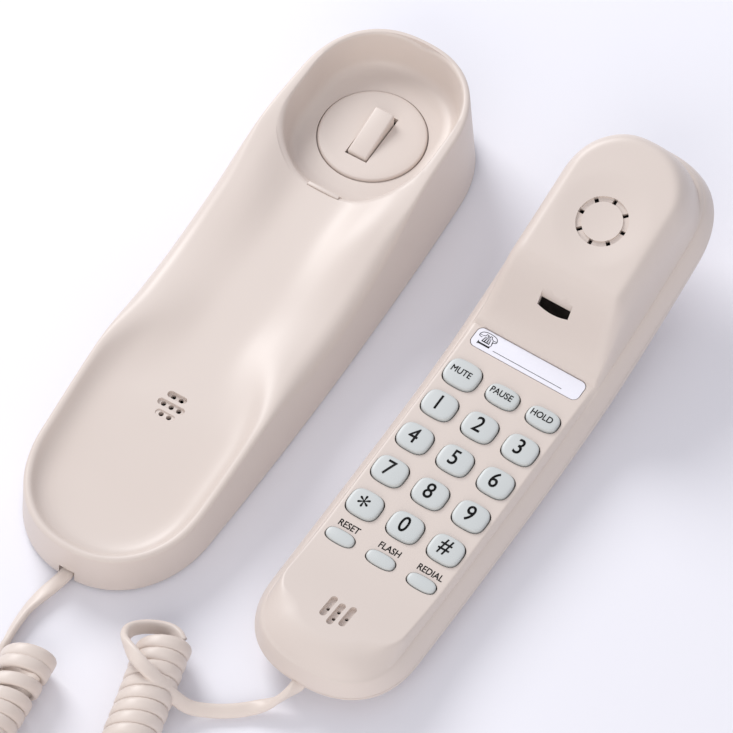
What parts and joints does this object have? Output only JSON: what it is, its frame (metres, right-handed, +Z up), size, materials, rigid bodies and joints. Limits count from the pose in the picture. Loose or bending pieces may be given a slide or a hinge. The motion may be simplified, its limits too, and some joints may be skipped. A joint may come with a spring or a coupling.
{
  "type": "corded wall and desk telephone",
  "caption": "Slim one-piece corded telephone in warm beige, its handset lying face up beside the cradle base, joined by a flat curly cord.",
  "frame": {"origin": "centre of the base's footprint, on the surface it stands on", "axes": "+Z up, +Y along the base towards its earpiece end, +X towards the handset"},
  "size_m": [0.1365, 0.2988, 0.0512],
  "materials": {
    "abs_shell": "satin, warm beige",
    "abs_plate": "fine matte",
    "key_plastic": "satin, pale blue-grey",
    "foot_rubber": "matte",
    "mat_rubber": "matte",
    "zinc_steel": "zinc plated",
    "spring_steel": "drawn wire",
    "ballast_steel": "bare sheet",
    "black_plastic": "matte",
    "jack_plastic": "matte",
    "board_green": "solder mask",
    "contact_brass": "plated",
    "cord_pvc": "soft satin, warm beige",
    "card_paper": "paper",
    "clear_window": "clear acrylic",
    "mic_can": "drawn can",
    "lead_pvc": "satin"
  },
  "bodies": {
    "base": {"base_shell": "abs_shell", "base_plate": "abs_plate", "rubber_feet": "foot_rubber", "base_screws": "zinc_steel", "hook_disc": "abs_shell", "hook_spring": "spring_steel", "hook_switch": "black_plastic", "base_pcb": "board_green", "ringer": "black_plastic", "ballast_plate": "ballast_steel", "line_jack": "jack_plastic", "jack_contacts": "contact_brass", "cord_clamp_base": "cord_pvc", "cord_base_lead": "cord_pvc", "cord_coil": "cord_pvc", "cord_handset_lead": "cord_pvc"},
    "hook": {"hook_button": "abs_shell"},
    "wall_hanger": {"wall_tab": "abs_shell"},
    "handset": {"handset_front": "abs_shell", "handset_back": "abs_shell", "handset_screws": "zinc_steel", "keypad_mat": "mat_rubber", "handset_pcb": "board_green", "number_card": "card_paper", "card_window": "clear_window", "receiver_gasket": "foot_rubber", "receiver": "black_plastic", "microphone": "mic_can", "mic_boot": "foot_rubber", "receiver_leads": "lead_pvc", "cord_clamp_handset": "cord_pvc"},
    "key_1": {"key_1": "key_plastic"},
    "key_2": {"key_2": "key_plastic"},
    "key_3": {"key_3": "key_plastic"},
    "key_4": {"key_4": "key_plastic"},
    "key_5": {"key_5": "key_plastic"},
    "key_6": {"key_6": "key_plastic"},
    "key_7": {"key_7": "key_plastic"},
    "key_8": {"key_8": "key_plastic"},
    "key_9": {"key_9": "key_plastic"},
    "key_star": {"key_star": "key_plastic"},
    "key_0": {"key_0": "key_plastic"},
    "key_hash": {"key_hash": "key_plastic"},
    "key_mute": {"key_mute": "key_plastic"},
    "key_pause": {"key_pause": "key_plastic"},
    "key_hold": {"key_hold": "key_plastic"},
    "key_reset": {"key_reset": "key_plastic"},
    "key_flash": {"key_flash": "key_plastic"},
    "key_redial": {"key_redial": "key_plastic"}
  },
  "joints": [
    {"name": "hook_hinge", "type": "hinge", "parent": "base", "child": "hook", "pos_m": [0, 0.0566, 0.0161], "axis": [1, 0, 0], "range_deg": [-11.5, 0], "stiffness_Nm_per_rad": 0.02, "springref_deg": 20.05, "deforming": ["hook_spring"]},
    {"name": "wall_tab_lift", "type": "slide", "parent": "base", "child": "wall_hanger", "axis": [0, 0, 1], "range_m": [0, 0.012]},
    {"name": "handset_lift", "type": "slide", "parent": "base", "child": "handset", "axis": [0, 0, 1], "range_m": [0, 0.08]},
    {"name": "key_1_press", "type": "slide", "parent": "handset", "child": "key_1", "axis": [-0.0009, -0.0314, 0.9995], "range_m": [-0.0012, 0], "stiffness_N_per_m": 100, "springref_m": 0.0015},
    {"name": "key_2_press", "type": "slide", "parent": "handset", "child": "key_2", "axis": [-0.0009, -0.0314, 0.9995], "range_m": [-0.0012, 0], "stiffness_N_per_m": 100, "springref_m": 0.0015},
    {"name": "key_3_press", "type": "slide", "parent": "handset", "child": "key_3", "axis": [-0.0009, -0.0314, 0.9995], "range_m": [-0.0012, 0], "stiffness_N_per_m": 100, "springref_m": 0.0015},
    {"name": "key_4_press", "type": "slide", "parent": "handset", "child": "key_4", "axis": [-0.0009, -0.0314, 0.9995], "range_m": [-0.0012, 0], "stiffness_N_per_m": 100, "springref_m": 0.0015},
    {"name": "key_5_press", "type": "slide", "parent": "handset", "child": "key_5", "axis": [-0.0009, -0.0314, 0.9995], "range_m": [-0.0012, 0], "stiffness_N_per_m": 100, "springref_m": 0.0015},
    {"name": "key_6_press", "type": "slide", "parent": "handset", "child": "key_6", "axis": [-0.0009, -0.0314, 0.9995], "range_m": [-0.0012, 0], "stiffness_N_per_m": 100, "springref_m": 0.0015},
    {"name": "key_7_press", "type": "slide", "parent": "handset", "child": "key_7", "axis": [-0.0009, -0.0314, 0.9995], "range_m": [-0.0012, 0], "stiffness_N_per_m": 100, "springref_m": 0.0015},
    {"name": "key_8_press", "type": "slide", "parent": "handset", "child": "key_8", "axis": [-0.0009, -0.0314, 0.9995], "range_m": [-0.0012, 0], "stiffness_N_per_m": 100, "springref_m": 0.0015},
    {"name": "key_9_press", "type": "slide", "parent": "handset", "child": "key_9", "axis": [-0.0009, -0.0314, 0.9995], "range_m": [-0.0012, 0], "stiffness_N_per_m": 100, "springref_m": 0.0015},
    {"name": "key_star_press", "type": "slide", "parent": "handset", "child": "key_star", "axis": [-0.0009, -0.0314, 0.9995], "range_m": [-0.0012, 0], "stiffness_N_per_m": 100, "springref_m": 0.0015},
    {"name": "key_0_press", "type": "slide", "parent": "handset", "child": "key_0", "axis": [-0.0009, -0.0314, 0.9995], "range_m": [-0.0012, 0], "stiffness_N_per_m": 100, "springref_m": 0.0015},
    {"name": "key_hash_press", "type": "slide", "parent": "handset", "child": "key_hash", "axis": [-0.0009, -0.0314, 0.9995], "range_m": [-0.0012, 0], "stiffness_N_per_m": 100, "springref_m": 0.0015},
    {"name": "key_mute_press", "type": "slide", "parent": "handset", "child": "key_mute", "axis": [-0.0009, -0.0314, 0.9995], "range_m": [-0.0012, 0], "stiffness_N_per_m": 100, "springref_m": 0.0015},
    {"name": "key_pause_press", "type": "slide", "parent": "handset", "child": "key_pause", "axis": [-0.0009, -0.0314, 0.9995], "range_m": [-0.0012, 0], "stiffness_N_per_m": 100, "springref_m": 0.0015},
    {"name": "key_hold_press", "type": "slide", "parent": "handset", "child": "key_hold", "axis": [-0.0009, -0.0314, 0.9995], "range_m": [-0.0012, 0], "stiffness_N_per_m": 100, "springref_m": 0.0015},
    {"name": "key_reset_press", "type": "slide", "parent": "handset", "child": "key_reset", "axis": [-0.0009, -0.0314, 0.9995], "range_m": [-0.0012, 0], "stiffness_N_per_m": 100, "springref_m": 0.0015},
    {"name": "key_flash_press", "type": "slide", "parent": "handset", "child": "key_flash", "axis": [-0.0009, -0.0314, 0.9995], "range_m": [-0.0012, 0], "stiffness_N_per_m": 100, "springref_m": 0.0015},
    {"name": "key_redial_press", "type": "slide", "parent": "handset", "child": "key_redial", "axis": [-0.0009, -0.0314, 0.9995], "range_m": [-0.0012, 0], "stiffness_N_per_m": 100, "springref_m": 0.0015}
  ]
}
